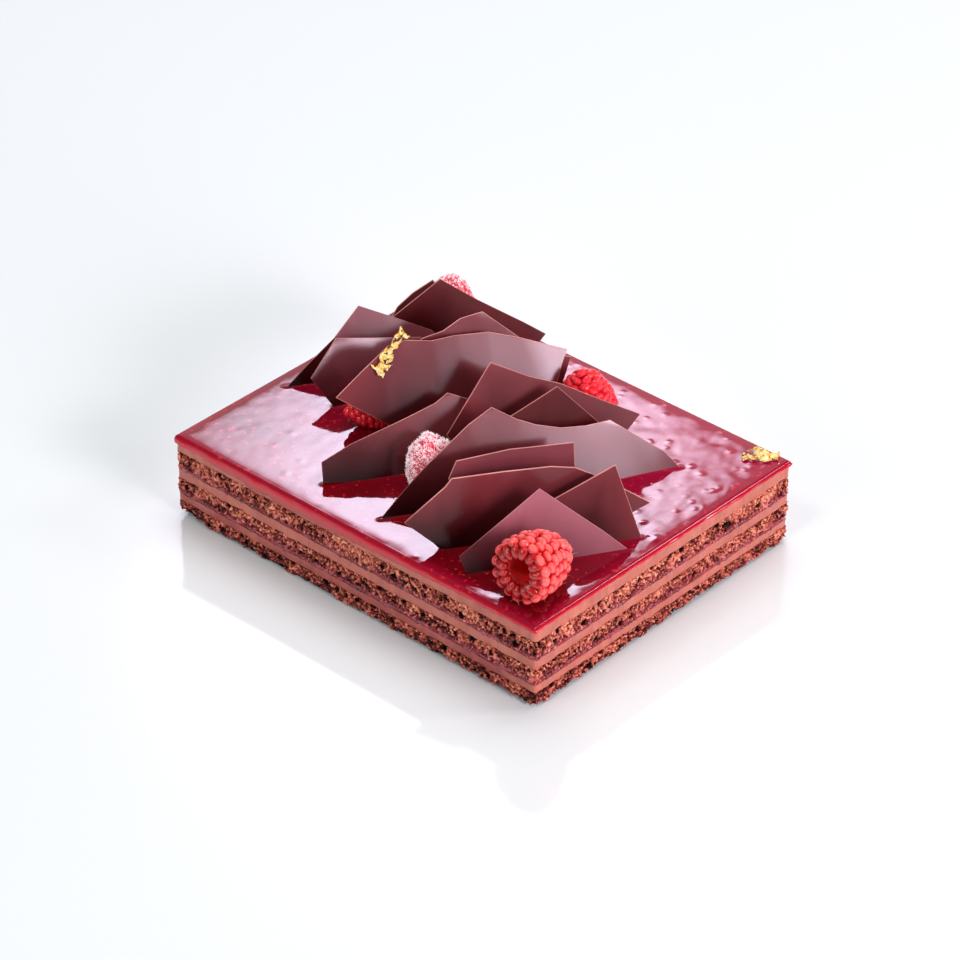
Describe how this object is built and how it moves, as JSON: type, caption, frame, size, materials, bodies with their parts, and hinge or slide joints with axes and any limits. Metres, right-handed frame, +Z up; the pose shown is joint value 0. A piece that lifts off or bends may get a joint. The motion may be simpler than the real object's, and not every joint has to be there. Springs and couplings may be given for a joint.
{
  "type": "entremet cake",
  "caption": "Rectangular layered chocolate and raspberry cake with a red mirror glaze, standing chocolate shards, raspberries and gold leaf.",
  "frame": {"origin": "middle of the underside, on the surface the cake stands on", "axes": "+X along the long side, +Y away from the long side that the glaze hangs over, +Z up through the layers"},
  "size_m": [0.1706, 0.134, 0.0713],
  "materials": {
    "sponge": "dark open chocolate crumb",
    "ganache": "smooth satin rose-brown cream",
    "jam": "moist dark raspberry",
    "glaze": "mirror gloss deep red",
    "chocolate": "satin tempered dark chocolate",
    "raspberry": "juicy red, fine hairs",
    "frosted_raspberry": "red under white sugar frost",
    "gold_leaf": "crumpled bright leaf"
  },
  "bodies": {
    "root": {"sponge_base": "sponge", "ganache_lower": "ganache", "raspberry_jam_lower": "jam", "sponge_middle": "sponge", "ganache_middle": "ganache", "raspberry_jam_upper": "jam", "sponge_top": "sponge", "ganache_top": "ganache", "raspberry_glaze": "glaze", "chocolate_shard_front": "chocolate", "chocolate_shard_front_right": "chocolate", "chocolate_shard_curved_top": "chocolate", "chocolate_shard_strip": "chocolate", "chocolate_shard_pale": "chocolate", "chocolate_shard_triangle": "chocolate", "chocolate_shard_middle": "chocolate", "chocolate_shard_left_low": "chocolate", "chocolate_shard_gilded": "chocolate", "chocolate_shard_sliver": "chocolate", "chocolate_shard_peak": "chocolate", "chocolate_shard_left": "chocolate", "chocolate_shard_left_high": "chocolate", "chocolate_shard_left_dark": "chocolate", "chocolate_shard_back": "chocolate", "chocolate_shard_back_thin": "chocolate", "raspberry_front": "raspberry", "raspberry_frosted_middle": "frosted_raspberry", "raspberry_left": "raspberry", "raspberry_right": "raspberry", "raspberry_frosted_back": "frosted_raspberry", "gold_leaf_on_shard": "gold_leaf", "gold_leaf_on_glaze": "gold_leaf"}
  },
  "joints": []
}
